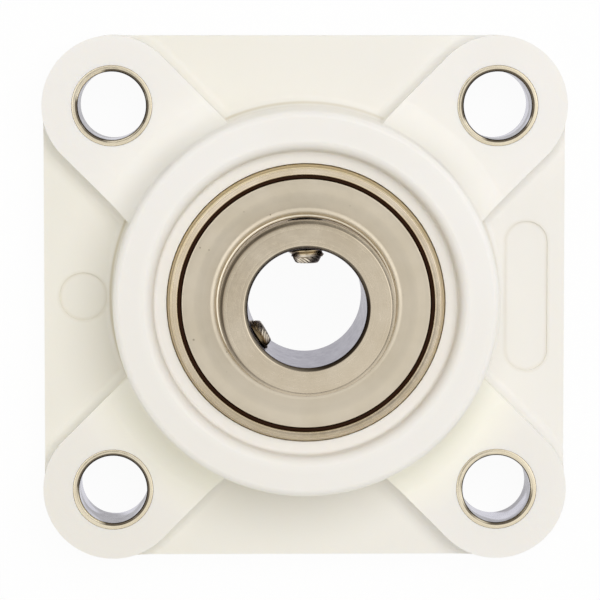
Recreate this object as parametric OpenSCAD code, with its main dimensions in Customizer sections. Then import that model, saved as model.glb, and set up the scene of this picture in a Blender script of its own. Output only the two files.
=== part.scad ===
// Four-bolt flange bearing: a moulded square housing that carries a
// self-aligning ball bearing insert with two set screws.
// The origin is the middle of the mounting face. +Z runs along the shaft,
// away from the machine and towards the locking end of the insert.

/* [Flange] */
// Width of the flange, measured over the round corner bosses
flange_w = 86.6; // [82:0.2:92]
// Distance between the centres of neighbouring bolt holes
bolt_spacing = 63.5; // [60:0.5:66]
// Thickness of the flange plate between the corners
plate_t = 8.5; // [7:0.5:10]
// Height of the corner bosses above the mounting face
boss_h = 13; // [11:0.5:15]
// How far each edge of the plate lies inside the corner bosses
edge_inset = 0.1; // [0.05:0.05:1]

/* [Hub] */
// Thickness of the hub's wall around the recess in its front
hub_wall_t = 6.45; // [5.5:0.05:7.5]
// How much wider the hub is at the plate than at its front, on the radius
hub_draft = 0.4; // [0.2:0.1:1]
// Radius of the hub's outer front edge
hub_edge_r = 1.3; // [0.6:0.1:2]
// Depth of the recess in the hub's front
recess_depth = 4; // [3:0.1:5]
// Radius of the rounded lip of the recess
lip_r = 2; // [1:0.1:2.5]
// Width of the flat rim between the recess's wall and the insert's seat
seat_rim_w = 2.2; // [1.5:0.1:3]

/* [Webs] */
// How far each side of the diagonal webs lies inside its corner boss
web_inset = 0.03; // [0.02:0.01:2]
// Radius of the curve that lifts each web's top up the hub
web_rise = 6; // [4:0.5:8]
// Radius of the fillets at the foot of the hub, the webs and the bosses
foot_r = 2; // [1:0.1:2.5]

/* [Insert seat] */
// Height of the bearing's centre above the mounting face
centre_h = 16; // [15:0.5:18]
// Half the length of the spherical seat, along the shaft
seat_half = 6.5; // [5:0.1:7]
// Clearance between the insert's spherical outside and its seat
seat_gap = 0.05; // [0.02:0.01:0.1]
// Draft of the opening behind the seat, on the radius
rear_draft = 0.6; // [0:0.1:1]
// Room around the insert in its two loading slots
slot_room = 0.3; // [0.2:0.1:0.6]

/* [Cored back] */
// Thickness of the wall between the insert's seat and the moulded pockets
seat_wall_t = 3.95; // [3:0.05:5]
// Thickness of the wall between the pockets and the bolt sleeves
sleeve_wall_t = 3.35; // [2.5:0.05:5]
// Depth of the moulded pockets
pocket_depth = 5.5; // [3:0.5:6]
// Thickness of the ribs between the pockets
rib_t = 2.4; // [1.5:0.1:4]
// Ribs that cross the back, each making two walls of pockets
rib_count = 8; // [4:1:8]

/* [Moulded marks] */
// Diameter of the round recess on the left of the plate
mark_d = 7.9; // [5:0.1:8]
// Distance of the round recess's centre from the plate's edge
mark_edge = 6.5; // [5:0.1:7]
// Width of the long recess on the right of the plate
plaque_w = 7; // [4:0.1:7.6]
// Length of the long recess
plaque_l = 24.9; // [15:0.1:26]
// Distance of the long recess's centre from the plate's edge
plaque_edge = 6.3; // [5:0.1:6.5]
// Depth of both recesses
mark_depth = 0.4; // [0.2:0.1:0.8]

/* [Bolt sleeves] */
// Bore of the steel sleeves, for an M10 bolt
bolt_hole_d = 11.2; // [10.5:0.1:12]
// Thickness of the steel sleeves' wall
sleeve_t = 1.05; // [0.8:0.05:1.6]
// Chamfer at both ends of a sleeve's bore
sleeve_chamfer = 0.25; // [0.2:0.05:0.5]

/* [Insert rings] */
// Shaft bore of the inner ring
shaft_d = 19.05; // [18:0.05:20]
// Thickness of the inner ring's wall
inner_wall_t = 4.625; // [4.2:0.025:5.2]
// Distance between the shoulders of the two rings, on the radius
race_room = 5.2; // [4.8:0.1:5.6]
// How far the seats for the seals are cut into the outer ring's shoulders
seal_step = 1.55; // [1.2:0.05:2]
// Width of the flat face at each end of the outer ring
end_face_w = 1.01; // [0.8:0.01:1.3]
// Length of the inner ring in front of the bearing's centre
inner_front = 18.3; // [17.5:0.1:20]
// Length of the inner ring behind the bearing's centre
inner_rear = 12.7; // [11:0.1:13.5]
// Chamfers at both ends of the inner ring's bore
ring_chamfer = 0.55; // [0.3:0.05:0.7]
// Chamfers on the inner ring's outer edges
ring_edge = 0.65; // [0.3:0.05:0.8]

/* [Balls and cage] */
// Diameter of a ball
ball_d = 7.938; // [7:0.01:8.2]
// Running clearance of a ball in each raceway
race_gap = 0.08; // [0.03:0.01:0.1]
// Clearance of a ball in its cage pocket
pocket_gap = 0.15; // [0.1:0.01:0.2]
// Thickness of the cage's pressed sheet
cage_t = 0.6; // [0.4:0.1:0.8]
// Radial width of the cage
cage_w = 2.4; // [2:0.1:3]
// Diameter of the rivets that join the cage's halves
rivet_d = 1.2; // [0.8:0.1:1.4]
// Diameter of the rivets' heads
rivet_head_d = 2; // [1.8:0.1:2.3]
// Height of the rivets' heads
rivet_head_h = 0.5; // [0.3:0.1:0.7]

/* [Seals and flingers] */
// Room along the shaft between the cage and the seals
seal_room = 0.48; // [0.3:0.02:0.8]
// Thickness of the steel plate in each seal
seal_plate_t = 0.6; // [0.4:0.1:0.7]
// Thickness of the rubber in each seal
rubber_t = 1; // [0.7:0.1:1.1]
// Room between each seal's steel plate and the inner ring
seal_plate_room = 1.2; // [0.8:0.1:2]
// Clearance of the rubber's lips from the parts that turn
lip_gap = 0.1; // [0.05:0.01:0.12]
// Distance of the rubbing lip from the inner ring
lip_at = 3.1; // [2.4:0.1:3.8]
// Width of the rubbing lip at its foot
lip_w = 0.9; // [0.6:0.1:1.4]
// Room along the shaft between the rubber and the flinger, where the lip stands
lip_room = 1.11; // [0.9:0.01:1.3]
// Room between a flinger's edge and the outer ring
flinger_room = 0.65; // [0.5:0.05:0.9]
// Thickness of the flingers' sheet
flinger_t = 0.4; // [0.3:0.05:0.6]
// How far the flingers' faces lie inside the ends of the outer ring
flinger_inset = 0.15; // [0:0.05:0.4]
// Radius of the curve from a flinger's face up to its collar
flinger_curve = 1.1; // [0.8:0.1:1.3]
// Height of a flinger's collar above its face
collar_h = 1.5; // [1.4:0.1:1.6]

/* [Set screws] */
// Thread diameter of the set screws
screw_d = 6; // [5:0.5:6]
// Length of a set screw
screw_l = 6; // [5:0.5:7]
// Distance of the set screws' axes from the inner ring's front face
screw_back = 4.8; // [4.4:0.1:5.2]
// How far the first screw's point stands into the bore
screw_1_in = 2.5; // [0:0.1:3]
// How far the second screw's point stands into the bore
screw_2_in = 1.9; // [0:0.1:3]
// Direction of the first screw around the shaft
screw_1_angle = 90; // [0:5:355]
// Direction of the second screw around the shaft
screw_2_angle = 210; // [0:5:355]
// Width across the flats of the screws' sockets
socket_af = 3; // [2.5:0.1:3.2]
// Depth of the screws' sockets
socket_depth = 2.4; // [1.5:0.1:3]
// Diameter of the flat rim of a screw's cup point
point_d = 3.4; // [2.5:0.1:4]
// Width of the flat rim around the cup in a screw's point
cup_rim = 0.2; // [0.1:0.05:0.4]
// Clearance of the screw threads in the ring
thread_gap = 0.04; // [0.02:0.01:0.08]
// Depth of the undercut in the bore where the screw holes break through
relief_depth = 0.2; // [0.18:0.01:0.3]
// Room beside the screw holes in that undercut
relief_room = 0.4; // [0.3:0.1:0.5]

/* [Hidden] */

$fn = 96;
eps = 0.01;
sink = 0.5;
dip = 0.02;
tall = 100;
fit_gap = 0.02;
ball_count = 8;

white_plastic = [0.93, 0.92, 0.88];
sleeve_steel = [0.72, 0.67, 0.57];
ring_steel = [0.76, 0.73, 0.66];
flinger_steel = [0.78, 0.75, 0.69];
bright_steel = [0.86, 0.86, 0.86];
dark_rubber = [0.12, 0.07, 0.05];
screw_steel = [0.5, 0.46, 0.38];

// The flange, its bosses and its sleeves
boss_r = (flange_w - bolt_spacing) / 2;
plate_w = flange_w - 2 * edge_inset;
corner_dist = bolt_spacing / sqrt(2);
web_w = 2 * (boss_r - web_inset);
sleeve_r = bolt_hole_d / 2 + sleeve_t;
mark_x = plate_w / 2 - mark_edge;
plaque_x = plate_w / 2 - plaque_edge;

// The insert's radii, from the shaft outwards
shaft_r = shaft_d / 2;
inner_r = shaft_r + inner_wall_t;
shoulder_r = inner_r + race_room;
pitch_r = (inner_r + shoulder_r) / 2;
seal_seat_r = shoulder_r + seal_step;
end_face_r = seal_seat_r + end_face_w;
ball_r = ball_d / 2;
race_r = ball_r + race_gap;
pocket_r = ball_r + pocket_gap;
ball_step = 360 / ball_count;
lip_end_r = inner_r + lip_at;
flinger_r = seal_seat_r - flinger_room;
collar_r = inner_r + fit_gap + flinger_t;

// Its stack along the shaft, from the middle of the balls outwards
seal_at = pocket_r + cage_t + seal_room;
seal_plate_at = seal_at + fit_gap;
rubber_at = seal_plate_at + seal_plate_t + fit_gap;
rubber_top = rubber_at + rubber_t;
flinger_back = rubber_top + lip_room;
flinger_at = flinger_back + flinger_t;
collar_top = flinger_at + collar_h;
outer_w = 2 * (flinger_at + flinger_inset);
insert_r = sqrt(pow(end_face_r, 2) + pow(outer_w / 2, 2));
front_z = centre_h + inner_front;
rear_z = centre_h - inner_rear;
screw_z = front_z - screw_back;
relief_half = screw_d / 2 + relief_room;

// The seat, the hub around it and the pockets behind it
seat_r = insert_r + seat_gap;
rim_r = sqrt(pow(seat_r, 2) - pow(seat_half, 2));
seat_top = centre_h + seat_half;
slot_r = insert_r + slot_room;
slot_w = 2 * sqrt(pow(insert_r, 2) - pow(rim_r, 2)) + 2 * slot_room;
recess_r = rim_r + seat_rim_w;
hub_r = recess_r + hub_wall_t;
hub_foot_r = hub_r + hub_draft;
hub_h = seat_top + recess_depth;
pocket_in_r = seat_r + seat_wall_t;
pocket_out_r = corner_dist - sleeve_r - sleeve_wall_t;
rib_step = 180 / rib_count;

// Corner between a wall at x = 0 and a floor at y = 0, hollowed to the radius r.
// Added to a profile it makes a fillet; turned over and cut away it rounds an edge.
// It reaches into both by the amount given.
module corner_profile(r, into = sink) {
    difference() {
        translate([-into, -into])
            square(r - dip + into);
        translate([r - dip, r - dip])
            circle(r = r);
    }
}

// A plain ring
module ring(outer_r, inner_r, from, to) {
    translate([0, 0, from])
        difference() {
            cylinder(r = outer_r, h = to - from);
            translate([0, 0, -1])
                cylinder(r = inner_r, h = to - from + 2);
        }
}

// Puts its children at the four bolt holes, turned to face the hub
module at_corners() {
    for (a = [45:90:315])
        rotate([0, 0, a])
            translate([corner_dist, 0, 0])
                children();
}

// Outline of the plate without its corner bosses
module plate_outline() {
    square([plate_w, bolt_spacing], center = true);
    square([bolt_spacing, plate_w], center = true);
}

// Outline of the whole flange
module flange_outline() {
    plate_outline();
    at_corners()
        circle(r = boss_r);
}

// The hub's solid of revolution, before the seat is cut
module hub_body() {
    rotate_extrude()
        difference() {
            polygon([
                [0, 0], [hub_foot_r, 0], [hub_foot_r, plate_t], [hub_r, hub_h],
                [recess_r, hub_h], [recess_r, seat_top], [0, seat_top]
            ]);
            translate([hub_r, hub_h])
                rotate(180)
                    corner_profile(hub_edge_r);
            translate([recess_r, hub_h])
                rotate(270)
                    corner_profile(lip_r);
        }
}

// Fillet around the foot of the hub
module hub_foot() {
    translate([0, 0, plate_t])
        rotate_extrude()
            translate([hub_foot_r - 5 * dip, 0])
                corner_profile(foot_r);
}

// One web and its boss, pointing along +X
module web_and_boss() {
    translate([0, -web_w / 2, 0])
        cube([corner_dist, web_w, boss_h]);
    translate([corner_dist, 0, 0])
        cylinder(r = boss_r, h = boss_h);
}

// Fillets along the foot of one web and around its boss
module web_foot() {
    for (side = [0, 1])
        mirror([0, side, 0])
            translate([0, web_w / 2, plate_t])
                rotate([90, 0, 90])
                    linear_extrude(corner_dist)
                        corner_profile(foot_r);
    translate([corner_dist, 0, plate_t])
        rotate_extrude()
            translate([boss_r, 0])
                corner_profile(foot_r);
}

// The curve by which the webs climb the hub
module web_rises() {
    intersection() {
        translate([0, 0, boss_h])
            rotate_extrude()
                translate([hub_r, 0])
                    corner_profile(web_rise);
        union()
            for (a = [45, 135])
                rotate([0, 0, a])
                    translate([-tall, -web_w / 2, 0])
                        cube([2 * tall, web_w, hub_h]);
    }
}

// Spherical seat, the recess before it and the opening behind it
module seat_cut() {
    translate([0, 0, centre_h])
        sphere(r = seat_r);
    translate([0, 0, centre_h - seat_half - tall])
        cylinder(r = rim_r, h = tall);
    translate([0, 0, -eps])
        cylinder(r1 = rim_r + rear_draft, r2 = rim_r, h = centre_h - seat_half);
    intersection() {
        translate([0, 0, -1])
            cylinder(r = slot_r, h = centre_h + 1);
        translate([-tall, -slot_w / 2, -1])
            cube([2 * tall, slot_w, centre_h + 1]);
    }
}

// Ring of pockets that cores out the back, parted by ribs
module back_pockets() {
    difference() {
        ring(pocket_out_r, pocket_in_r, -1, pocket_depth);
        for (i = [0:rib_count - 1])
            rotate([0, 0, i * rib_step])
                translate([-tall, -rib_t / 2, -tall])
                    cube([2 * tall, rib_t, 2 * tall]);
    }
}

// The two shallow recesses on the plate, both left bare
module plate_marks() {
    translate([-mark_x, 0, plate_t - mark_depth])
        cylinder(d = mark_d, h = sink);
    translate([plaque_x, 0, plate_t - mark_depth])
        linear_extrude(sink) {
            square([plaque_w, plaque_l - plaque_w], center = true);
            for (y = [-1, 1])
                translate([0, y * (plaque_l - plaque_w) / 2])
                    circle(d = plaque_w);
        }
}

module housing() {
    color(white_plastic)
        difference() {
            union() {
                linear_extrude(plate_t)
                    plate_outline();
                hub_body();
                hub_foot();
                for (a = [45:90:315])
                    rotate([0, 0, a])
                        web_and_boss();
                intersection() {
                    linear_extrude(hub_h)
                        flange_outline();
                    union()
                        for (a = [45:90:315])
                            rotate([0, 0, a])
                                web_foot();
                }
                web_rises();
            }
            seat_cut();
            translate([0, 0, seat_top])
                cylinder(r = recess_r, h = tall);
            at_corners()
                translate([0, 0, -1])
                    cylinder(r = sleeve_r + fit_gap, h = boss_h + 2);
            back_pockets();
            plate_marks();
        }
}

// Steel sleeve that takes the bolt's clamping load
module bolt_sleeve(number) {
    bore_r = bolt_hole_d / 2;
    wide_r = bore_r + sleeve_chamfer;
    color(sleeve_steel)
        rotate([0, 0, 90 * number - 45])
            translate([corner_dist, 0, 0])
                rotate_extrude()
                    polygon([
                        [wide_r, 0],
                        [sleeve_r, 0],
                        [sleeve_r, boss_h],
                        [wide_r, boss_h],
                        [bore_r, boss_h - sleeve_chamfer],
                        [bore_r, sleeve_chamfer]
                    ]);
}

// Torus of the ball track, shared by both raceways
module ball_track() {
    rotate_extrude()
        translate([pitch_r, 0])
            circle(r = race_r);
}

module outer_ring() {
    color(ring_steel)
        translate([0, 0, centre_h])
            difference() {
                intersection() {
                    sphere(r = insert_r);
                    cylinder(r = 2 * insert_r, h = outer_w, center = true);
                }
                cylinder(r = shoulder_r, h = outer_w + 2, center = true);
                ring(seal_seat_r, inner_r, seal_at, outer_w);
                ring(seal_seat_r, inner_r, -outer_w, -seal_at);
                ball_track();
            }
}

// Turns a part made for the front of the insert to its front or its rear
module insert_side(front) {
    translate([0, 0, centre_h])
        mirror([0, 0, front ? 0 : 1])
            children();
}

module seal_plate(front) {
    color(bright_steel)
        insert_side(front)
            ring(
                seal_seat_r - fit_gap, inner_r + seal_plate_room,
                seal_plate_at, seal_plate_at + seal_plate_t
            );
}

// Rubber seal: a disc, a rubbing lip and a rim around the flinger
module rubber_seal(front) {
    rim_in = flinger_r + lip_gap;
    color(dark_rubber)
        insert_side(front)
            rotate_extrude()
                polygon([
                    [inner_r + lip_gap, rubber_at],
                    [seal_seat_r - fit_gap, rubber_at],
                    [seal_seat_r - fit_gap, flinger_back + flinger_t / 2],
                    [rim_in, flinger_back + flinger_t / 2],
                    [rim_in, rubber_top],
                    [lip_end_r, rubber_top],
                    [lip_end_r, flinger_back - lip_gap],
                    [lip_end_r - lip_w, rubber_top],
                    [inner_r + lip_gap, rubber_top]
                ]);
}

// Pressed steel flinger with a collar around the inner ring
module flinger(front) {
    collar_in = inner_r + fit_gap;
    color(flinger_steel)
        insert_side(front)
            rotate_extrude() {
                polygon([
                    [collar_in, flinger_back], [flinger_r, flinger_back],
                    [flinger_r, flinger_at], [collar_r, flinger_at],
                    [collar_r, collar_top], [collar_in, collar_top]
                ]);
                translate([collar_r, flinger_at])
                    corner_profile(flinger_curve, flinger_t / 2);
            }
}

module inner_ring() {
    c = ring_chamfer;
    e = ring_edge;
    color(ring_steel)
        difference() {
            rotate_extrude()
                polygon([
                    [shaft_r, rear_z + c],
                    [shaft_r + c, rear_z],
                    [inner_r - e, rear_z],
                    [inner_r, rear_z + e],
                    [inner_r, front_z - e],
                    [inner_r - e, front_z],
                    [shaft_r + c, front_z],
                    [shaft_r, front_z - c],
                    [shaft_r, screw_z + relief_half],
                    [shaft_r + relief_depth, screw_z + relief_half],
                    [shaft_r + relief_depth, screw_z - relief_half],
                    [shaft_r, screw_z - relief_half]
                ]);
            translate([0, 0, centre_h])
                ball_track();
            for (a = [screw_1_angle, screw_2_angle])
                rotate([0, 0, a])
                    translate([0, 0, screw_z])
                        rotate([0, 90, 0])
                            cylinder(d = screw_d + 2 * thread_gap, h = 2 * inner_r);
        }
}

// One ball of the set, in its raceway
module ball(number) {
    color(bright_steel)
        rotate([0, 0, (number - 1) * ball_step])
            translate([pitch_r, 0, centre_h])
                sphere(r = ball_r);
}

// Spheres around the balls, for the cage's pockets
module ball_spheres(r) {
    for (i = [0:ball_count - 1])
        rotate([0, 0, i * ball_step])
            translate([pitch_r, 0, 0])
                sphere(r = r);
}

// Places the cage's rivets, midway between the balls
module at_rivets() {
    for (i = [0:ball_count - 1])
        rotate([0, 0, (i + 0.5) * ball_step])
            translate([pitch_r, 0, 0])
                children();
}

// Half of the pressed cage: a flat ring with a dome over each ball
module cage_half(front) {
    dome_r = pocket_r + cage_t;
    color(bright_steel)
        insert_side(front)
            difference() {
                intersection() {
                    ring(
                        pitch_r + cage_w / 2, pitch_r - cage_w / 2,
                        fit_gap / 2, dome_r + 1
                    );
                    union() {
                        ball_spheres(dome_r);
                        cylinder(r = pitch_r + cage_w, h = cage_t + fit_gap / 2);
                    }
                }
                ball_spheres(pocket_r);
                at_rivets()
                    cylinder(d = rivet_d + 2 * fit_gap, h = 2 * cage_t);
            }
}

module cage_rivets() {
    shank = cage_t + fit_gap / 2 + fit_gap;
    color(sleeve_steel)
        translate([0, 0, centre_h])
            at_rivets() {
                cylinder(d = rivet_d, h = 2 * shank, center = true);
                for (side = [0, 1])
                    mirror([0, 0, side])
                        translate([0, 0, shank])
                            cylinder(d = rivet_head_d, h = rivet_head_h);
            }
}

// Set screw with a hexagon socket outside and a cup point in the bore
module set_screw(angle, point_in) {
    point_slope = (screw_d - point_d) / 2;
    cup_r = point_d / 2 - cup_rim;
    color(screw_steel)
        rotate([0, 0, angle])
            translate([shaft_r - point_in, 0, screw_z])
                rotate([0, 90, 0])
                    difference() {
                        union() {
                            cylinder(d1 = point_d, d2 = screw_d, h = point_slope);
                            translate([0, 0, point_slope])
                                cylinder(d = screw_d, h = screw_l - point_slope);
                        }
                        translate([0, 0, -eps])
                            cylinder(r1 = cup_r, r2 = 0, h = cup_r / 2);
                        translate([0, 0, screw_l - socket_depth])
                            cylinder(
                                r = socket_af / sqrt(3),
                                h = socket_depth + 1,
                                $fn = 6
                            );
                    }
}

housing();
bolt_sleeve(1);  // bolt_sleeve_1
bolt_sleeve(2);  // bolt_sleeve_2
bolt_sleeve(3);  // bolt_sleeve_3
bolt_sleeve(4);  // bolt_sleeve_4
outer_ring();
seal_plate(true);  // front_seal_plate
rubber_seal(true);  // front_seal
seal_plate(false);  // rear_seal_plate
rubber_seal(false);  // rear_seal
inner_ring();
flinger(true);  // front_flinger
flinger(false);  // rear_flinger
cage_half(true);  // cage_front
cage_half(false);  // cage_rear
cage_rivets();
ball(1);  // ball_1
ball(2);  // ball_2
ball(3);  // ball_3
ball(4);  // ball_4
ball(5);  // ball_5
ball(6);  // ball_6
ball(7);  // ball_7
ball(8);  // ball_8
set_screw(screw_1_angle, screw_1_in);  // set_screw_1
set_screw(screw_2_angle, screw_2_in);  // set_screw_2
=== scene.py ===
# Four-bolt flange bearing: looks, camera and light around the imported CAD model.
# Sizes in the dictionaries are millimetres, in the CAD model's own frame.
import math

import bmesh
import bpy
from mathutils import Matrix, Vector


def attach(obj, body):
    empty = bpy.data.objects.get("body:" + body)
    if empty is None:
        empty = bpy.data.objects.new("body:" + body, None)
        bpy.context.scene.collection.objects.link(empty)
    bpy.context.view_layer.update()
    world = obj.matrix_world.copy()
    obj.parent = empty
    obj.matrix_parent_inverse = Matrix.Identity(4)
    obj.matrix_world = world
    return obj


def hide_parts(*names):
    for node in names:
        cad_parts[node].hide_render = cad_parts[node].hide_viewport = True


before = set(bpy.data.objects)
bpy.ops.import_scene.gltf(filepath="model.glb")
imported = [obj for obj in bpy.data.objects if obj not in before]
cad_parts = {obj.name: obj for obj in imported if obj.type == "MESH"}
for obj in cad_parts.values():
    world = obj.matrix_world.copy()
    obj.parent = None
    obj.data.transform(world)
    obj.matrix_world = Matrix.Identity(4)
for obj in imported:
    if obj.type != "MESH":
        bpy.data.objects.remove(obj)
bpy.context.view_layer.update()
mm = 0.001
fullTurn = 2 * math.pi
print("frame:", len(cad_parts), "nodes")


# helpers for meshes: every piece is added, dressed and given its body here
def addPiece(bm, name, body, material, nodes, smoothUpTo=40):
    mesh = bpy.data.meshes.new(name)
    bm.to_mesh(mesh)
    bm.free()
    piece = bpy.data.objects.new(name, mesh)
    bpy.context.scene.collection.objects.link(piece)
    dress(piece, material, smoothUpTo)
    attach(piece, body)
    if nodes:
        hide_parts(*nodes)
    return piece


def dress(piece, material, smoothUpTo=40):
    piece.data.materials.clear()
    piece.data.materials.append(material)
    piece.data.shade_smooth()
    piece.data.set_sharp_from_angle(angle=math.radians(smoothUpTo))
    flats = piece.modifiers.new("keepFlatsFlat", "WEIGHTED_NORMAL")
    flats.keep_sharp = True


def turned(corners, steps=192):
    # each corner is (radius, height, rounding); the outline is turned about the Z axis
    bm = bmesh.new()
    verts = [bm.verts.new((r * mm, 0, z * mm)) for r, z, _ in corners]
    for here, there in zip(verts, verts[1:] + verts[:1]):
        bm.edges.new((here, there))
    for vert, (_, _, rounding) in zip(verts, corners):
        if rounding:
            bmesh.ops.bevel(bm, geom=[vert], offset=rounding * mm, offset_type="OFFSET",
                            segments=3, profile=0.5, affect="VERTICES", material=-1)
    bmesh.ops.spin(bm, geom=bm.verts[:] + bm.edges[:], cent=(0, 0, 0), axis=(0, 0, 1),
                   angle=fullTurn, steps=steps, use_merge=True)
    bmesh.ops.recalc_face_normals(bm, faces=bm.faces)
    return bm


def arcCorners(centre, radius, start, end, count):
    # corners along an arc of the outline, angles in degrees
    angles = [math.radians(start + (end - start) * i / count) for i in range(count + 1)]
    return [(centre[0] + radius * math.cos(a), centre[1] + radius * math.sin(a), 0)
            for a in angles]


def flipped(corners, height):
    # the same outline for the other end of the insert
    return [(r, 2 * height - z, rounding) for r, z, rounding in corners]


def cutAway(target, cutter):
    # both are bmeshes; gives the first without the second, as a new bmesh
    pair = []
    for bm in (target, cutter):
        mesh = bpy.data.meshes.new("work")
        bm.to_mesh(mesh)
        bm.free()
        work = bpy.data.objects.new("work", mesh)
        bpy.context.scene.collection.objects.link(work)
        pair.append(work)
    cut = pair[0].modifiers.new("cut", "BOOLEAN")
    cut.operation = "DIFFERENCE"
    cut.solver = "EXACT"
    cut.object = pair[1]
    graph = bpy.context.evaluated_depsgraph_get()
    result = bmesh.new()
    result.from_mesh(pair[0].evaluated_get(graph).to_mesh())
    for work in pair:
        bpy.data.meshes.remove(work.data)
    return result


# helpers for materials
def startMaterial(name, colour, metallic, roughness):
    material = bpy.data.materials.new(name)
    material.use_nodes = True
    shader = material.node_tree.nodes["Principled BSDF"]
    shader.inputs["Base Color"].default_value = (*colour, 1)
    shader.inputs["Metallic"].default_value = metallic
    shader.inputs["Roughness"].default_value = roughness
    return material, shader


def node(material, kind, inputs, **settings):
    made = material.node_tree.nodes.new(kind)
    for name, value in settings.items():
        setattr(made, name, value)
    for name, value in inputs.items():
        if isinstance(value, bpy.types.NodeSocket):
            material.node_tree.links.new(value, made.inputs[name])
        else:
            made.inputs[name].default_value = value
    return made


def objectPlace(material):
    return node(material, "ShaderNodeTexCoord", {}).outputs["Object"]


def maths(material, operation, first, second=0.0):
    return node(material, "ShaderNodeMath", {0: first, 1: second}, operation=operation).outputs[0]


def grain(material, place, scale, detail=3.0, roughness=0.5):
    made = node(material, "ShaderNodeTexNoise",
                {"Vector": place, "Scale": scale, "Detail": detail, "Roughness": roughness})
    return made.outputs["Fac"]


def spread(material, value, low, high, toLow, toHigh):
    made = node(material, "ShaderNodeMapRange",
                {"Value": value, "From Min": low, "From Max": high, "To Min": toLow, "To Max": toHigh})
    return made.outputs["Result"]


def fade(material, value, limits, toStart, toEnd):
    # as spread, between two limits in millimetres
    return spread(material, value, limits[0] * mm, limits[1] * mm, toStart, toEnd)


def lengthOf(material, first, second):
    squares = [maths(material, "MULTIPLY", value, value) for value in (first, second)]
    return maths(material, "SQRT", maths(material, "ADD", *squares))


def blendColours(material, share, first, second):
    made = node(material, "ShaderNodeMix", {0: share}, data_type="RGBA")
    for socket, colour in ((made.inputs[6], first), (made.inputs[7], second)):
        if isinstance(colour, bpy.types.NodeSocket):
            material.node_tree.links.new(colour, socket)
        else:
            socket.default_value = (*colour, 1)
    return made.outputs[2]


def bumps(material, shader, height, strength, distance, below=None):
    inputs = {"Height": height, "Strength": strength, "Distance": distance}
    if below is not None:
        inputs["Normal"] = below
    made = node(material, "ShaderNodeBump", inputs)
    material.node_tree.links.new(made.outputs["Normal"], shader.inputs["Normal"])
    return made.outputs["Normal"]


def feed(material, value, socket):
    material.node_tree.links.new(value, socket)


def fineScratches(material, place):
    # noise drawn out along three directions, so that the marks cross each other
    heights = []
    for angle in (20, 75, 130):
        along = node(material, "ShaderNodeMapping", {"Vector": place, "Rotation": (0, 0, math.radians(angle)),
                                                     "Scale": (260, 7000, 260)})
        heights.append(grain(material, along.outputs["Vector"], 1, 2))
    return maths(material, "MINIMUM", maths(material, "MINIMUM", heights[0], heights[1]), heights[2])


def darkSpecks(material, place, size, share, dot=0.09):
    # a few small marks: one cell in many has a dot in its middle
    cells = node(material, "ShaderNodeTexVoronoi", {"Vector": place, "Scale": size})
    near = spread(material, cells.outputs["Distance"], dot / 3, dot, 1, 0)
    pick = node(material, "ShaderNodeSeparateColor", {"Color": cells.outputs["Color"]}).outputs[0]
    return maths(material, "MULTIPLY", near, maths(material, "GREATER_THAN", pick, 1 - share))


def turningMarks(material, place, centre=(0.0, 0.0), folded=False):
    # distance from the axis, and that distance plus the height: lines that run round the piece
    x, y, z = node(material, "ShaderNodeSeparateXYZ", {"Vector": place}).outputs
    if folded:
        x, y = maths(material, "ABSOLUTE", x), maths(material, "ABSOLUTE", y)
    x = maths(material, "SUBTRACT", x, centre[0] * mm)
    y = maths(material, "SUBTRACT", y, centre[1] * mm)
    radius = lengthOf(material, x, y)
    return radius, maths(material, "ADD", radius, z)


def outlineOf(material, x, y, mark):
    # distance from the outline of a round or long moulded place
    sideways = maths(material, "SUBTRACT", x, mark["centre"][0] * mm)
    beyond = maths(material, "ABSOLUTE", maths(material, "SUBTRACT", y, mark["centre"][1] * mm))
    beyond = maths(material, "MAXIMUM", maths(material, "SUBTRACT", beyond, mark["straight"] / 2 * mm), 0)
    inside = maths(material, "SUBTRACT", lengthOf(material, sideways, beyond), mark["radius"] * mm)
    return maths(material, "ABSOLUTE", inside)


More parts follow.
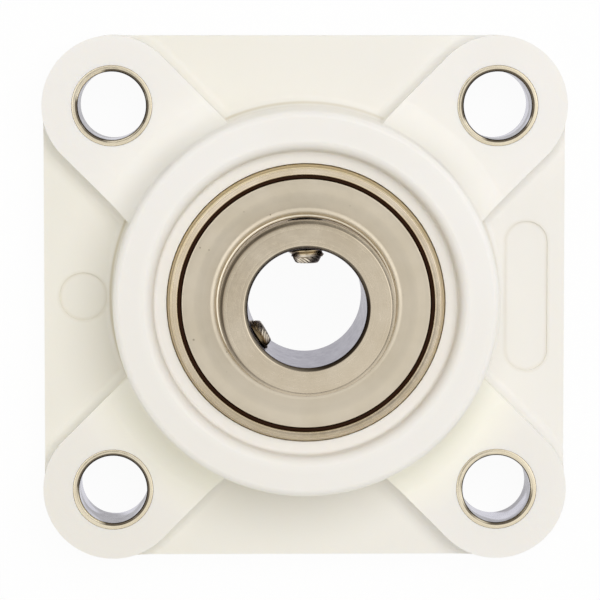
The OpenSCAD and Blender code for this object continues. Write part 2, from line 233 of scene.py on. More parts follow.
def mouldedPlastic():
    look = {
        "cream": (0.89, 0.866, 0.852), "shade": (0.845, 0.814, 0.772), "roughness": (0.36, 0.5),
        "plateShadeLeft": (0.855, 0.828, 0.765), "plateShadeRight": (0.87, 0.846, 0.815), "seat": (0.92, 0.893, 0.86),
        "web": (0.97, 0.94, 0.83), "creaseShade": (0.62, 0.55, 0.41), "dust": (0.35, 0.3, 0.24),
        # where each tone starts and ends, in millimetres
        "corner": (10, -62), "plateAcross": (-30, 30), "plateTop": (9.4, 10.6), "hubWall": (30.9, 31.7),
        "webOut": (33, 42), "webDown": (12, -22), "seatLightOut": (24.6, 27.6),
        "footRadius": 32.2, "footWidth": (0.05, 0.35), "footAcross": (-31, 31), "markWidth": (0.05, 0.55),
        "marks": ({"centre": (-36.7, 0), "straight": 0, "radius": 3.95},
                  {"centre": (36.9, 0), "straight": 17.9, "radius": 3.5}),
    }
    material, shader = startMaterial("mouldedPlastic", look["cream"], 0, sum(look["roughness"]) / 2)
    place = objectPlace(material)
    x, y, z = node(material, "ShaderNodeSeparateXYZ", {"Vector": place}).outputs
    radius = lengthOf(material, x, y)
    # tone that differs in clouds, and painted shade that darkens the plastic towards the bottom-left corner
    clouds = spread(material, grain(material, place, 38, 4), 0.35, 0.68, 0, 0.5)
    corner = fade(material, maths(material, "ADD", x, y), look["corner"], 0, 0.9)
    toneAndPaintedShade = maths(material, "MAXIMUM", clouds, corner)
    colour = blendColours(material, toneAndPaintedShade, look["cream"], look["shade"])
    # painted light: the thick webs are painted lighter and warmer where they climb the hub and its shade falls, most
    # at the bottom
    outside = fade(material, radius, look["hubWall"], 0, 1)
    web = maths(material, "MULTIPLY", fade(material, radius, look["webOut"], 1, 0),
                fade(material, y, look["webDown"], 0.25, 1))
    colour = blendColours(material, maths(material, "MULTIPLY", web, outside), colour, look["web"])
    # painted shade: the low plate is painted darker and warmer than the rest, most at the left
    plateShade = fade(material, x, look["plateAcross"], 0, 1)
    plateShade = blendColours(material, plateShade, look["plateShadeLeft"], look["plateShadeRight"])
    low = maths(material, "MULTIPLY", fade(material, z, look["plateTop"], 1, 0), outside)
    colour = blendColours(material, low, colour, plateShade)
    # painted light: the insert's seat and the recess round it are painted paler, against the shade that falls there
    colour = blendColours(material, fade(material, radius, look["seatLightOut"], 1, 0), colour, look["seat"])
    # painted shade: thin dark lines in the creases at the hub's foot, most at the left, and round the moulded places
    foot = maths(material, "ABSOLUTE", maths(material, "SUBTRACT", radius, look["footRadius"] * mm))
    creaseShade = maths(material, "MULTIPLY", fade(material, foot, look["footWidth"], 1, 0),
                   fade(material, x, look["footAcross"], 0.75, 0.25))
    for mark in look["marks"]:
        line = fade(material, outlineOf(material, x, y, mark), look["markWidth"], 0.2, 0)
        creaseShade = maths(material, "MAXIMUM", creaseShade, line)
    colour = blendColours(material, maths(material, "MULTIPLY", creaseShade, low), colour, look["creaseShade"])
    dust = maths(material, "MULTIPLY", darkSpecks(material, place, 80, 0.04), 0.6)
    feed(material, blendColours(material, dust, colour, look["dust"]), shader.inputs["Base Color"])
    fine = grain(material, place, 1400, 3)
    feed(material, spread(material, fine, 0.3, 0.7, *look["roughness"]), shader.inputs["Roughness"])
    shader.inputs["Subsurface Weight"].default_value = 0.15
    shader.inputs["Subsurface Radius"].default_value = (1.0, 0.85, 0.6)
    shader.inputs["Subsurface Scale"].default_value = 0.0015
    shader.inputs["IOR"].default_value = 1.5
    sink = bumps(material, shader, grain(material, place, 85, 2), 0.18, 0.0004)
    bumps(material, shader, fine, 0.12, 0.00005, sink)
    return material


def insideHole(material, place, angle, look):
    # one within the given distance of an axis that points outwards from the shaft, and outside its bore
    out = outwards(angle)
    offset = node(material, "ShaderNodeVectorMath", {0: place, 1: (0, 0, look["holeHeight"] * mm)},
                  operation="SUBTRACT").outputs[0]
    across = alongLine(material, offset, out.cross(Vector((0, 0, 1))))
    up = node(material, "ShaderNodeSeparateXYZ", {"Vector": offset}).outputs["Z"]
    near = maths(material, "LESS_THAN", lengthOf(material, across, up), look["holeRadius"] * mm)
    beyond = maths(material, "GREATER_THAN", alongLine(material, offset, out), look["holeStart"] * mm)
    return maths(material, "MULTIPLY", near, beyond)


def outwards(angle):
    return Vector((math.cos(math.radians(angle)), math.sin(math.radians(angle)), 0))


def alongLine(material, place, direction):
    return node(material, "ShaderNodeVectorMath", {0: place, 1: direction}, operation="DOT_PRODUCT").outputs["Value"]


# what all the steels share
steelDetail = {"stain": (0.22, 0.21, 0.24), "thread": (0.09, 0.07, 0.05), "speck": (0.2, 0.16, 0.1),
               "smoother": 0.06, "rougher": 0.09, "lineHeight": 0.00003, "scratchHeight": 0.00002}


def steel(name, look, centre=(0.0, 0.0), folded=False):
    # stainless steel with lines from turning, a honed bore painted a cooler bluish tone as a painted reflection,
    # thin painted rings of highlight and shade, and a few scratches
    detail = steelDetail
    material, shader = startMaterial(name, look["colour"], 1, look["roughness"])
    place = objectPlace(material)
    radius, along = turningMarks(material, place, centre, folded)
    cloud = grain(material, place, 160, 4)
    colour = blendColours(material, spread(material, cloud, 0.35, 0.65, 0, 1), look["colour"], look["tint"])
    if look.get("boreRadius"):
        # painted reflection: inside the bore the colour is a cooler, bluish tone that stands in for the surroundings
        # it mirrors, under real stains
        inBore = maths(material, "LESS_THAN", radius, look["boreRadius"] * mm)
        stains = spread(material, grain(material, place, 520, 5, 0.65), 0.55, 0.68, 0, 0.3)
        honedAndMirrored = spread(material, cloud, 0.4, 0.62, 0, 1)
        honedAndMirrored = blendColours(material, honedAndMirrored, look["boreMirroredColour"], look["boreMirroredTint"])
        colour = blendColours(material, inBore, colour, blendColours(material, stains, honedAndMirrored, detail["stain"]))
        shader.inputs["Specular Tint"].default_value = (*look["boreGlance"], 1)
    if look.get("edgeRadius"):
        atEdge = maths(material, "GREATER_THAN", radius, look["edgeRadius"] * mm)
        colour = blendColours(material, atEdge, colour, look["edgeColour"])
    for middle, half, least, most, angle, mark in look.get("edges", ()):
        # each chamfer and step shows as a thin painted ring, a painted highlight where its colour is pale and
        # painted shade where it is dark, strongest towards one side
        off = maths(material, "ABSOLUTE", maths(material, "SUBTRACT", radius, middle * mm))
        if look.get("patchy"):
            strength = spread(material, grain(material, place, 110, 1), 0.44, 0.52, 0.05, 0.9)
        else:
            side = alongLine(material, place, outwards(angle))
            strength = fade(material, side, (-0.2 * middle, 0.8 * middle), least, most)
        ring = maths(material, "MULTIPLY", fade(material, off, (0.6 * half, 1.1 * half), 1, 0), strength)
        colour = blendColours(material, ring, colour, mark)
    for angle in look.get("holes", ()):
        # painted shade: the cut threads in the tapped holes are painted dark, as they catch little light
        colour = blendColours(material, insideHole(material, place, angle, look), colour, detail["thread"])
    if look.get("tipOut"):
        # the knurled point has lost its black finish
        colour = blendColours(material, fade(material, radius, look["tipOut"], 1, 0), colour, look["tipColour"])
    if look.get("specks"):
        dots = maths(material, "MAXIMUM", darkSpecks(material, place, 330, 0.06, 0.08),
                     darkSpecks(material, place, 700, 0.07, 0.13))
        dots = maths(material, "MULTIPLY", dots, look["specks"])
        colour = blendColours(material, dots, colour, detail["speck"])
    lines = node(material, "ShaderNodeTexNoise", {"W": along, "Scale": look["lineScale"], "Detail": 4.0},
                 noise_dimensions="1D").outputs["Fac"]
    shadeLines = spread(material, lines, 0.3, 0.7, 1 - look["lineShade"], 1 + look["lineShade"])
    lined = node(material, "ShaderNodeVectorMath", {0: colour, "Scale": shadeLines}, operation="SCALE")
    feed(material, lined.outputs[0], shader.inputs["Base Color"])
    matt = maths(material, "ADD", lines, grain(material, place, 900, 3))
    low, high = look["roughness"] - detail["smoother"], look["roughness"] + detail["rougher"]
    feed(material, spread(material, matt, 0.7, 1.3, low, high), shader.inputs["Roughness"])
    base = bumps(material, shader, lines, look["lineDepth"], detail["lineHeight"])
    rough = grain(material, place, look["grainScale"], 3)
    base = bumps(material, shader, rough, look["grainDepth"], detail["lineHeight"], base)
    if look.get("radial"):
        # grinding marks that run outwards from the shaft
        level = node(material, "ShaderNodeVectorMath", {0: place, 1: (1, 1, 0)}, operation="MULTIPLY").outputs[0]
        level = node(material, "ShaderNodeVectorMath", {0: level}, operation="NORMALIZE").outputs[0]
        base = bumps(material, shader, grain(material, level, 70, 3), look["radial"], detail["lineHeight"], base)
    if look.get("scratches"):
        bumps(material, shader, fineScratches(material, place), look["scratches"], detail["scratchHeight"], base)
    return material


def darkRubber():
    look = {"colour": (0.015, 0.004, 0.0005), "tint": (0.025, 0.008, 0.0015), "roughness": 0.7}
    material, shader = startMaterial("sealRubber", look["colour"], 0, look["roughness"])
    place = objectPlace(material)
    cloud = grain(material, place, 300, 3)
    feed(material, blendColours(material, cloud, look["colour"], look["tint"]), shader.inputs["Base Color"])
    feed(material, spread(material, cloud, 0.3, 0.7, 0.55, 0.75), shader.inputs["Roughness"])
    shader.inputs["Specular IOR Level"].default_value = 0.12
    bumps(material, shader, grain(material, place, 2500, 3), 0.2, 0.00003)
    return material


def polishedBall():
    look = {"colour": (0.70, 0.70, 0.71), "tint": (0.78, 0.78, 0.78), "roughness": (0.05, 0.13)}
    material, shader = startMaterial("polishedBall", look["colour"], 1, look["roughness"][0])
    cloud = grain(material, objectPlace(material), 700, 3)
    feed(material, spread(material, cloud, 0.3, 0.7, *look["roughness"]), shader.inputs["Roughness"])
    feed(material, blendColours(material, cloud, look["colour"], look["tint"]), shader.inputs["Base Color"])
    return material


plasticLook = mouldedPlastic()
# painted reflection: the dark that chamfers mirror, painted on as a colour
paintedDarkReflection = (0.06, 0.043, 0.027)
# an edge is a thin painted ring, a painted highlight when pale and painted shade when dark: middle radius, half
# width, least and most strength, angle of the strongest side, colour
ringLook = steel("groundRing", {
    "colour": (0.62, 0.53, 0.395), "tint": (0.69, 0.60, 0.465), "roughness": 0.19,
    "boreRadius": 9.56, "boreMirroredColour": (0.46, 0.45, 0.50), "boreMirroredTint": (0.58, 0.57, 0.62),
    "boreGlance": (0.60, 0.59, 0.65),
    # painted reflections: dark rings on the bore's chamfer and on the outside chamfer, strongest towards one side
    "edges": ((9.85, 0.35, 0.05, 1.0, -35, paintedDarkReflection), (13.75, 0.4, 0.1, 0.78, 150, (0.08, 0.05, 0.022))),
    "holes": (90, 210), "holeHeight": 29.5, "holeRadius": 3.12, "holeStart": 9.0,
    "lineScale": 5200, "lineDepth": 0.015, "lineShade": 0.015,
    "grainScale": 1500, "grainDepth": 0.05, "radial": 0.06, "scratches": 0.1})
outerLook = steel("turnedOuterRing", {
    "colour": (0.67, 0.56, 0.40), "tint": (0.77, 0.665, 0.52), "roughness": 0.2,
    "edgeRadius": 22.05, "edgeColour": (0.56, 0.44, 0.23),
    # painted highlight and shade: a bright line at 22.0 mm, a dark line at 22.22 mm, and the face painted darker
    # towards the bottom
    "edges": ((22.0, 0.13, 0.15, 0.8, 120, (0.95, 0.86, 0.62)),
              (22.22, 0.13, 0.35, 0.8, 215, (0.27, 0.19, 0.09)),
              (21.45, 0.85, 0.0, 0.5, 268, (0.40, 0.33, 0.22))),
    "lineScale": 3200, "lineDepth": 0.1, "lineShade": 0.06, "grainScale": 2600, "grainDepth": 0.06})
flingerLook = steel("pressedFlinger", {
    "colour": (0.60, 0.53, 0.412), "tint": (0.64, 0.57, 0.455), "roughness": 0.36, "specks": 0.75,
    # painted highlight: a bright ring on the collar's rim, strongest towards the left
    "edges": ((14.4, 0.22, 0.0, 1.0, 155, (0.98, 0.90, 0.74)),),
    "lineScale": 400, "lineDepth": 0.0, "lineShade": 0.03, "grainScale": 3000, "grainDepth": 0.22})
sleeveLook = steel("turnedSleeve", {
    "colour": (0.74, 0.65, 0.48), "tint": (0.80, 0.72, 0.56), "roughness": 0.22,
    "boreRadius": 5.63, "boreMirroredColour": (0.62, 0.61, 0.66), "boreMirroredTint": (0.68, 0.67, 0.71),
    # painted reflection: a dark ring in patches on the bore's chamfer
    "boreGlance": (0.88, 0.88, 0.93), "edges": ((5.8, 0.3, 0.5, 0.5, 0, paintedDarkReflection),), "patchy": True,
    "lineScale": 4200, "lineDepth": 0.08, "lineShade": 0.07, "grainScale": 2600, "grainDepth": 0.08},
    (31.75, 31.75), True)
sheetLook = steel("pressedSheet", {
    "colour": (0.55, 0.54, 0.51), "tint": (0.62, 0.61, 0.58), "roughness": 0.32,
    "lineScale": 1500, "lineDepth": 0.05, "lineShade": 0.06, "grainScale": 3000, "grainDepth": 0.15})
screwLook = steel("darkScrew", {
    "colour": (0.26, 0.195, 0.11), "tint": (0.42, 0.33, 0.20), "roughness": 0.24,
    "tipOut": (8.25, 8.65), "tipColour": (0.56, 0.50, 0.41),
    "lineScale": 3800, "lineDepth": 0.1, "lineShade": 0.08, "grainScale": 1800, "grainDepth": 0.3})
rubberLook = darkRubber()
ballLook = polishedBall()
print("materials:", len(bpy.data.materials))


# the moulded housing is the CAD form with every sharp edge softly rounded
housingForm = {
    "outline": 0.55, "marks": 0.13, "recess": 0.5, "seat": 0.2, "back": 0.4, "pockets": 0.3,  # roundings
    "boltPitch": 63.5, "sleeveRadius": 7.6,
    # where the edges of each kind are found
    "markHeights": (8.0, 8.7), "markInner": 32.5, "markOuter": 42, "markReach": 12.7, "markClear": (12.9, 9),
    "plateFrom": 8.3, "hubRadius": 31.9, "lipHeights": (22.2, 22.8), "seatRadius": 23.5, "recessRadius": 24,
    "backHeight": 0.05, "backRadius": 38, "pocketDepth": 5.7, "pocketRadii": (27, 35)}
sharpAngle, flatAngle = math.radians(38), math.radians(0.4)


def roundEdges(bm, width, segments, wanted):
    chosen = []
    for edge in bm.edges:
        if len(edge.link_faces) == 2 and edge.calc_face_angle() > sharpAngle:
            if all(wanted(*(vert.co / mm)) for vert in edge.verts):
                chosen.append(edge)
    bmesh.ops.bevel(bm, geom=chosen, offset=width * mm, offset_type="OFFSET", segments=segments,
                    profile=0.5, affect="EDGES", clamp_overlap=True, material=-1)
    print("  rounded", len(chosen), "edges by", width)


def makeHousing(form):
    bm = bmesh.new()
    bm.from_mesh(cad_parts["housing"].data)
    bmesh.ops.remove_doubles(bm, verts=bm.verts, dist=0.0005 * mm)
    bmesh.ops.dissolve_limit(bm, angle_limit=flatAngle, verts=bm.verts, edges=bm.edges)
    half = form["boltPitch"] / 2

    def offHoles(x, y):
        return math.hypot(abs(x) - half, abs(y) - half) > form["sleeveRadius"]

    def isMark(x, y, z):
        low, high = form["markHeights"]
        return low < z < high and form["markInner"] < abs(x) < form["markOuter"] and abs(y) < form["markReach"]

    def isOutline(x, y, z):
        reach, height = form["markClear"]
        onMark = abs(x) < form["markOuter"] and abs(y) < reach and z < height
        return z > form["plateFrom"] and math.hypot(x, y) > form["hubRadius"] and offHoles(x, y) and not onMark

    def atLip(z):
        return form["lipHeights"][0] < z < form["lipHeights"][1]

    def isBack(x, y, z):
        return z < form["backHeight"] and math.hypot(x, y) > form["backRadius"] and offHoles(x, y)

    def isPocket(x, y, z):
        inner, outer = form["pocketRadii"]
        return z < form["pocketDepth"] and inner < math.hypot(x, y) < outer

    roundEdges(bm, form["marks"], 2, isMark)
    roundEdges(bm, form["outline"], 4, isOutline)
    roundEdges(bm, form["seat"], 2, lambda x, y, z: atLip(z) and math.hypot(x, y) < form["seatRadius"])
    roundEdges(bm, form["recess"], 3, lambda x, y, z: atLip(z) and math.hypot(x, y) > form["recessRadius"])
    roundEdges(bm, form["back"], 3, isBack)
    roundEdges(bm, form["pockets"], 2, isPocket)
    return bm


addPiece(makeHousing(housingForm), "mouldedHousing", "housing", plasticLook, ["housing"])
print("housing done")


# steel sleeves in the bolt holes
sleeveForm = {"bore": 5.6, "outside": 6.65, "height": 13.0, "chamfer": 0.25, "rounding": 0.07}


def makeSleeve(form, x, y):
    wide = form["bore"] + form["chamfer"]
    r = form["rounding"]
    bm = turned([
        (wide, 0, r), (form["outside"], 0, 2 * r), (form["outside"], form["height"], 2 * r),
        (wide, form["height"], r), (form["bore"], form["height"] - form["chamfer"], r),
        (form["bore"], form["chamfer"], r)], 96)
    bmesh.ops.translate(bm, verts=bm.verts, vec=Vector((x, y, 0)) * mm)
    return bm


for number, (sideX, sideY) in enumerate(((1, 1), (-1, 1), (-1, -1), (1, -1)), 1):
    half = housingForm["boltPitch"] / 2
    addPiece(makeSleeve(sleeveForm, sideX * half, sideY * half), "boltSleeve" + str(number), "housing",
             sleeveLook, ["bolt_sleeve_" + str(number)])
print("sleeves done")


# the insert's rings, flingers and seals are all turned about the shaft's axis
insertForm = {
    "middle": 16.0, "pitchRadius": 16.75, "raceRadius": 4.049,
    "outerRadius": 23.5, "outerHalf": 8.5, "dish": 0.045, "sealSeat": 20.9, "shoulder": 19.35, "sealDepth": 5.2,
    "innerRadius": 14.15, "bore": 9.525, "frontEnd": 34.3, "rearEnd": 3.3, "chamfer": 0.6, "edge": 0.65,
    "screwHeight": 29.5, "threadRadius": 3.05, "threadDepth": 0.52, "threadPitch": 1.0,  # pitch as the screws'
    "threadFrom": 7.5, "threadTo": 17, "threadTurn": 2.9}


def makeOuterRing(form):
    z, half = form["middle"], form["outerHalf"]
    tilt = math.degrees(math.asin(half / form["outerRadius"]))
    groove = math.degrees(math.acos((form["shoulder"] - form["pitchRadius"]) / form["raceRadius"]))
    ball = arcCorners((0, z), form["outerRadius"], -tilt, tilt, 16)
    ball[0], ball[-1] = (*ball[0][:2], 0.12), (*ball[-1][:2], 0.12)
    race = arcCorners((form["pitchRadius"], z), form["raceRadius"], groove, -groove, 14)
    return turned(ball + [
        (form["sealSeat"], z + half - form["dish"], 0.15), (form["sealSeat"], z + form["sealDepth"], 0),
        (form["shoulder"], z + form["sealDepth"], 0.1)] + race + [
        (form["shoulder"], z - form["sealDepth"], 0.1),
        (form["sealSeat"], z - form["sealDepth"], 0), (form["sealSeat"], z - half + form["dish"], 0.15)])


def makeInnerRing(form, screws):
    c, e, r = form["chamfer"], form["edge"], 0.1
    outer, bore, front, rear = form["innerRadius"], form["bore"], form["frontEnd"], form["rearEnd"]
    groove = math.degrees(math.acos((form["pitchRadius"] - outer) / form["raceRadius"]))
    centre = (form["pitchRadius"], form["middle"])
    race = arcCorners(centre, form["raceRadius"], 180 + groove, 180 - groove, 14)
    bm = turned([
        (bore, rear + c, r), (bore + c, rear, r), (outer - e, rear, r), (outer, rear + e, r)] + race + [
        (outer, front - e, r), (outer - e, front, r), (bore + c, front, r), (bore, front - c, r)], 240)
    for screw in screws:
        thread = threadedRod(form, form["threadRadius"], form["threadFrom"], form["threadTo"])
        # a small turn keeps its points off the ring's own lines, so that the cut is clean
        bmesh.ops.rotate(thread, cent=(0, 0, 0), verts=thread.verts,
                         matrix=Matrix.Rotation(math.radians(form["threadTurn"]), 3, "Z"))
        aim(thread, screw["angle"], form["screwHeight"])
        bm = cutAway(bm, thread)
    return bm


# set screws, and the threads that they share with the ring
screwForm = {
    "radius": 2.98, "threadDepth": 0.52, "threadPitch": 1.0, "length": 6.0,
    "pointRadius": 1.62, "pointLength": 1.1, "ridges": 18, "twist": -42,
    "pointShape": ((0.08, 1.8), (0.2, 1.95), (0.2, 2.07), (0.2, 2.17), (0.2, 2.26), (0.22, 2.33)),
    "leadRadius": 2.55, "leadSlope": 0.75, "leadFrom": 0.5,
    "endWider": 3, "endNarrower": 0.45, "endFrom": 3.6, "past": 0.05,  # the chamfer of the outer end
    "cupRadius": 1.4, "cupDepth": 0.75, "cupFloor": 0.05, "ridgeDepth": 0.035,
    "socket": 3.0, "socketDepth": 2.4}
screwPlaces = [{"angle": 90, "point": 7.025}, {"angle": 210, "point": 7.625}]


def threadedRod(form, radius, start, end, steps=48):
    # one helical thread along Z, cut flat at both ends; equal pitches keep their threads in step
    depth, pitch = form["threadDepth"], form["threadPitch"]
    beside = 0.004  # the cuts pass just beside the thread's points
    bm = bmesh.new()
    line = []
    first = math.floor(start / pitch) - 1
    for turn in range(first, math.ceil(end / pitch) + 1):
        for share, out in ((0, 0), (0.16, 0), (0.5, 1), (0.66, 1)):
            line.append(bm.verts.new(((radius - depth * (1 - out)) * mm, 0, (turn + share) * pitch * mm)))
    edges = [bm.edges.new(pair) for pair in zip(line, line[1:])]
    bmesh.ops.spin(bm, geom=line + edges, cent=(0, 0, 0), axis=(0, 0, 1), angle=fullTurn, steps=steps,
                   dvec=(0, 0, pitch * mm / steps), use_merge=False)
    bmesh.ops.remove_doubles(bm, verts=bm.verts, dist=0.002 * mm)
    for height, side in ((start, -1), (end, 1)):
        bmesh.ops.bisect_plane(bm, geom=bm.verts[:] + bm.edges[:] + bm.faces[:],
                               plane_co=(0, 0, (height + beside) * mm), plane_no=(0, 0, side), clear_outer=True)
    bmesh.ops.holes_fill(bm, edges=[e for e in bm.edges if e.is_boundary], sides=0)
    bmesh.ops.recalc_face_normals(bm, faces=bm.faces)
    return bm


def aim(bm, angle, height):
    # from along Z to pointing outwards from the shaft
    turn = Matrix.Rotation(math.radians(angle), 3, "Z") @ Matrix.Rotation(math.radians(90), 3, "Y")
    bmesh.ops.rotate(bm, cent=(0, 0, 0), matrix=turn, verts=bm.verts)
    bmesh.ops.translate(bm, vec=(0, 0, height * mm), verts=bm.verts)


def pullInside(bm, lowRadius, highRadius, low, high):
    # points outside the cone between two heights, and its extension, move straight in to it
    for vert in bm.verts:
        share = (vert.co.z / mm - low) / (high - low)
        most = (lowRadius + (highRadius - lowRadius) * share) * mm
        out = math.hypot(vert.co.x, vert.co.y)
        if out > most:
            vert.co.x *= most / out
            vert.co.y *= most / out


def pushFace(bm, face, rise):
    # extrudes a level face along Z, and gives the new face
    raised = bmesh.ops.extrude_face_region(bm, geom=[face])["geom"]
    moved = [g for g in raised if isinstance(g, bmesh.types.BMVert)]
    bmesh.ops.translate(bm, vec=(0, 0, rise * mm), verts=moved)
    if face.is_valid and any(len(edge.link_faces) > 2 for edge in face.edges):
        bmesh.ops.delete(bm, geom=[face], context="FACES_ONLY")  # no wall is left inside
    return [g for g in raised if isinstance(g, bmesh.types.BMFace)][0]


def shapeFace(face, outline):
    # moves each point of a face to the radius that the outline gives for its angle
    for vert in face.verts:
        angle = math.atan2(vert.co.y, vert.co.x)
        radius = outline(angle) * mm
        vert.co.x, vert.co.y = radius * math.cos(angle), radius * math.sin(angle)


def knurledPoint(form, start):
    # from the floor of its cup to the rim, and up in twisted steps, so that the ridges run round the cone
    def star(angle):
        return form["pointRadius"] * (1 - form["ridgeDepth"] + form["ridgeDepth"] * math.cos(angle * form["ridges"]))

    bm = bmesh.new()
    bmesh.ops.create_circle(bm, cap_ends=True, segments=2 * form["ridges"], radius=form["cupFloor"] * mm)
    bmesh.ops.translate(bm, vec=(0, 0, (start + form["cupDepth"]) * mm), verts=bm.verts)
    face = pushFace(bm, bm.faces[:][0], -form["cupDepth"])
    shapeFace(face, lambda angle: form["cupRadius"])
    face = pushFace(bm, face, 0)
    shapeFace(face, star)
    size = form["pointRadius"]
    for rise, radius in form["pointShape"]:
        face = pushFace(bm, face, rise)
        bmesh.ops.scale(bm, vec=(radius / size, radius / size, 1), verts=face.verts[:])
        bmesh.ops.rotate(bm, cent=(0, 0, 0), verts=face.verts[:],
                         matrix=Matrix.Rotation(math.radians(form["twist"] * rise), 3, "Z"))
        size = radius
    bmesh.ops.recalc_face_normals(bm, faces=bm.faces)
    return bm


def makeScrew(form, place, height):
    def hexagon(angle):
        return form["socket"] / 2 / math.cos(angle % (fullTurn / 6) - fullTurn / 12)

    start = place["point"]
    shoulder, end = start + form["pointLength"] - form["past"], start + form["length"]
    top = end + form["past"]
    bm = threadedRod(form, form["radius"], shoulder, end)
    pullInside(bm, form["radius"] + form["endWider"], form["radius"] - form["endNarrower"],
               start - form["endFrom"], top)
    lead = form["leadRadius"] - (form["pointLength"] + form["leadFrom"]) * form["leadSlope"]
    leadEnd = lead + (form["length"] + form["leadFrom"] + form["past"]) * form["leadSlope"]
    pullInside(bm, lead, leadEnd, start - form["leadFrom"], top)
    # the hexagon socket sinks into the outer end
    face = max(bm.faces, key=lambda f: min(vert.co.z for vert in f.verts))
    face = pushFace(bm, face, 0)
    shapeFace(face, hexagon)
    pushFace(bm, face, -form["socketDepth"])
    bmesh.ops.recalc_face_normals(bm, faces=bm.faces)
    # the point is a closed form of its own, set a little way into the thread
    tip = knurledPoint(form, start)
    mesh = bpy.data.meshes.new("work")
    tip.to_mesh(mesh)
    tip.free()
    bm.from_mesh(mesh)
    bpy.data.meshes.remove(mesh)
    aim(bm, place["angle"], height)
    return bm


addPiece(makeOuterRing(insertForm), "outerRing", "insert_outer", outerLook, ["outer_ring"])
addPiece(makeInnerRing(insertForm, screwPlaces), "innerRing", "insert_inner", ringLook,
         ["inner_ring"], 32)
for number, place in enumerate(screwPlaces, 1):
    addPiece(makeScrew(screwForm, place, insertForm["screwHeight"]), "setScrew" + str(number),
             "screw_" + str(number), screwLook, ["set_screw_" + str(number)], 25)
print("rings and screws done")

flingerForm = {"inside": 14.17, "edge": 20.25, "back": 7.95, "face": 8.35, "collar": 14.57, "collarTop": 9.85,
               "curve": 1.1, "bend": 0.35}
sealForm = {"inside": 14.25, "outside": 20.88, "low": 5.84, "top": 6.84, "rimInside": 20.35, "rimTop": 8.15,
            "lip": 17.25, "lipFoot": 16.35, "lipTop": 7.85}
plateForm = {"inside": 15.35, "outside": 20.88, "low": 5.22, "top": 5.82}


def flingerOutline(form, z):
    bend = form["curve"]
    centre = (form["collar"] + bend, z + form["face"] + bend)
    return [
        (form["inside"], z + form["back"], form["bend"]), (form["edge"], z + form["back"], 0.12),
        (form["edge"], z + form["face"], 0.22)] + arcCorners(centre, bend, 270, 180, 8) + [
        (form["collar"], z + form["collarTop"], 0.15), (form["inside"], z + form["collarTop"], 0.1)]


def sealOutline(form, z):
    return [
        (form["inside"], z + form["low"], 0.1), (form["outside"], z + form["low"], 0.1),
        (form["outside"], z + form["rimTop"], 0.12), (form["rimInside"], z + form["rimTop"], 0.1),
        (form["rimInside"], z + form["top"], 0.12), (form["lip"], z + form["top"], 0.1),
        (form["lip"], z + form["lipTop"], 0.04), (form["lipFoot"], z + form["top"], 0.1),
        (form["inside"], z + form["top"], 0.12)]


def plateOutline(form, z):
    return [(form["inside"], z + form["low"], 0.1), (form["outside"], z + form["low"], 0.1),
            (form["outside"], z + form["top"], 0.1), (form["inside"], z + form["top"], 0.1)]


for side in ("front", "rear"):
    middle = insertForm["middle"]
    outlines = [flingerOutline(flingerForm, middle), sealOutline(sealForm, middle), plateOutline(plateForm, middle)]
    if side == "rear":
        outlines = [flipped(outline, middle) for outline in outlines]
    addPiece(turned(outlines[0]), side + "Flinger", "insert_inner", flingerLook,
             [side + "_flinger"])
    addPiece(turned(outlines[1], 160), side + "Seal", "insert_outer", rubberLook,
             [side + "_seal"])
    addPiece(turned(outlines[2], 128), side + "SealPlate", "insert_outer", sheetLook,
             [side + "_seal_plate"])
print("flingers and seals done")

for name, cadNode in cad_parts.items():
    if name.startswith("cage"):
        dress(cadNode, sheetLook, 30)
    elif name.startswith("ball_"):
        dress(cadNode, ballLook, 60)


# floor, light and camera
studio = {
    "floorDrop": 0.05, "floorWhite": 0.95, "floorSize": 3.0, "floorColour": (0.9, 0.9, 0.9),
    # diffuse light falls from the horizon to the zenith
    "skyLow": 0.86, "skyHigh": 0.34, "skyRange": (0.1, 0.9), "skyTint": (1.0, 0.985, 0.9),
    # metal mirrors a white studio that darkens to the horizon and around the camera
    "horizon": 0.2, "horizonRange": (0.02, 0.4),
    "darkSpot": {"at": (-0.10, 0.03), "inner": 0.09, "outer": 0.19, "level": 0.35},
    # and has two brighter panels, high at the left and right
    "sideBoxes": {"middle": 0.75, "half": 0.38, "gain": 0.55, "across": (0.14, 0.34), "behind": (-0.35, 0.0)},
    "key": {"at": (125, 165, 670), "size": 480, "power": 2.5, "colour": (0.975, 0.985, 1.0)},
    "fill": {"at": (-240, -190, 560), "size": 420, "power": 0.24, "colour": (1.0, 0.985, 0.9)},
    "aim": (0, 0, 10)}
view = {"at": (-11.32, 48.70, 632.35), "turned": (-4.5222, -0.9711, 0.0063), "lens": 225.87}


def makeFloor(look):
    bm = bmesh.new()
    bmesh.ops.create_grid(bm, x_segments=1, y_segments=1, size=look["floorSize"])
    bmesh.ops.translate(bm, vec=(0, 0, -look["floorDrop"] * mm), verts=bm.verts)
    mesh = bpy.data.meshes.new("floor")
    bm.to_mesh(mesh)
    bm.free()
    floor = bpy.data.objects.new("floor", mesh)
    bpy.context.scene.collection.objects.link(floor)
    material, shader = startMaterial("paleFloor", look["floorColour"], 0, 0.9)
    mesh.materials.append(material)
    seen = whiteRays(material, True)
    glow = node(material, "ShaderNodeEmission", {"Color": (1, 1, 1, 1), "Strength": 1.0})
    share = maths(material, "MULTIPLY", seen, look["floorWhite"])
    mixed = node(material, "ShaderNodeMixShader", {0: share, 1: shader.outputs[0], 2: glow.outputs[0]})
    feed(material, mixed.outputs[0], material.node_tree.nodes["Material Output"].inputs["Surface"])


def whiteRays(owner, mirrored):
    # camera and see-through rays meet the white background, and mirrored ones where asked
    rays = node(owner, "ShaderNodeLightPath", {})
    direct = maths(owner, "MAXIMUM", rays.outputs["Is Camera Ray"], rays.outputs["Is Transmission Ray"])
    return maths(owner, "MAXIMUM", direct, rays.outputs["Is Glossy Ray"]) if mirrored else direct


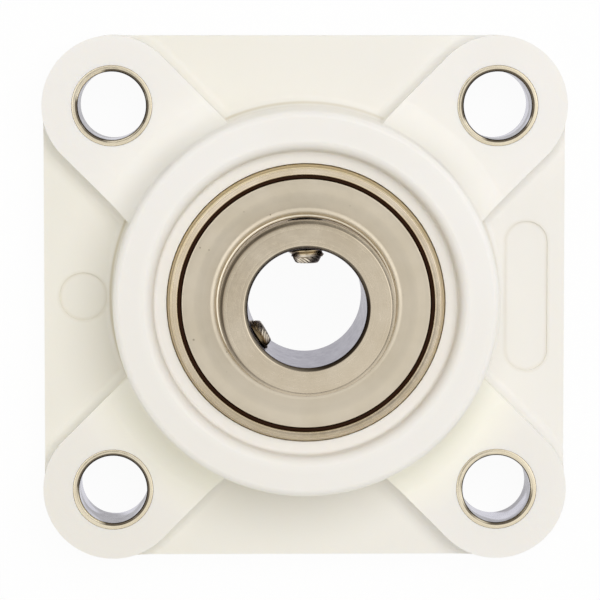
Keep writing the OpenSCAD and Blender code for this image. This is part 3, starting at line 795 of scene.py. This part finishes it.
def makeSky(look):
    world = bpy.data.worlds.new("studio")
    bpy.context.scene.world = world
    world.use_nodes = True
    background = world.node_tree.nodes["Background"]
    diffuse = node(world, "ShaderNodeLightPath", {}).outputs["Is Diffuse Ray"]
    feed(world, blendColours(world, diffuse, (1, 1, 1), look["skyTint"]), background.inputs["Color"])
    spot = look["darkSpot"]
    towards = node(world, "ShaderNodeTexCoord", {}).outputs["Generated"]
    x, y, z = node(world, "ShaderNodeSeparateXYZ", {"Vector": towards}).outputs
    offX, offY = maths(world, "SUBTRACT", x, spot["at"][0]), maths(world, "SUBTRACT", y, spot["at"][1])
    aroundCamera = spread(world, lengthOf(world, offX, offY), spot["inner"], spot["outer"], spot["level"], 1.0)
    upwards = spread(world, z, *look["horizonRange"], look["horizon"], 1.0)
    mirrored = maths(world, "MULTIPLY", aroundCamera, upwards)
    boxes = look["sideBoxes"]
    offZ = maths(world, "ABSOLUTE", maths(world, "SUBTRACT", z, boxes["middle"]))
    panels = maths(world, "MULTIPLY", spread(world, offZ, boxes["half"] / 2, boxes["half"], boxes["gain"], 0),
                   spread(world, maths(world, "ABSOLUTE", x), *boxes["across"], 0, 1))
    panels = maths(world, "MULTIPLY", panels, spread(world, y, *boxes["behind"], 0, 1))
    mirrored = maths(world, "MULTIPLY", mirrored, maths(world, "ADD", panels, 1.0))
    glossy = node(world, "ShaderNodeLightPath", {}).outputs["Is Glossy Ray"]
    soft = spread(world, z, *look["skyRange"], look["skyLow"], look["skyHigh"])
    onObject = spread(world, glossy, 0, 1, soft, mirrored)
    feed(world, spread(world, whiteRays(world, False), 0, 1, onObject, 1.0), background.inputs["Strength"])


def makeLamp(name, look, target):
    lamp = bpy.data.lights.new(name, "AREA")
    lamp.shape = "DISK"
    lamp.size = look["size"] * mm
    lamp.energy = look["power"]
    lamp.color = look["colour"]
    holder = bpy.data.objects.new(name, lamp)
    holder.visible_glossy = False  # metal mirrors the sky alone
    bpy.context.scene.collection.objects.link(holder)
    holder.location = Vector(look["at"]) * mm
    aimed = Vector(target) * mm - holder.location
    holder.rotation_euler = aimed.to_track_quat("-Z", "Y").to_euler()


def makeCamera(look):
    camera = bpy.data.objects.new("camera", bpy.data.cameras.new("camera"))
    bpy.context.scene.collection.objects.link(camera)
    camera.location = Vector(look["at"]) * mm
    camera.rotation_euler = [math.radians(angle) for angle in look["turned"]]
    camera.data.sensor_width = 36
    camera.data.lens = look["lens"]
    camera.data.clip_start = 0.01
    bpy.context.scene.camera = camera


makeFloor(studio)
makeSky(studio)
makeLamp("keyLamp", studio["key"], studio["aim"])
makeLamp("fillLamp", studio["fill"], studio["aim"])
makeCamera(view)
bpy.context.scene.view_settings.view_transform = "Standard"
print("studio done")
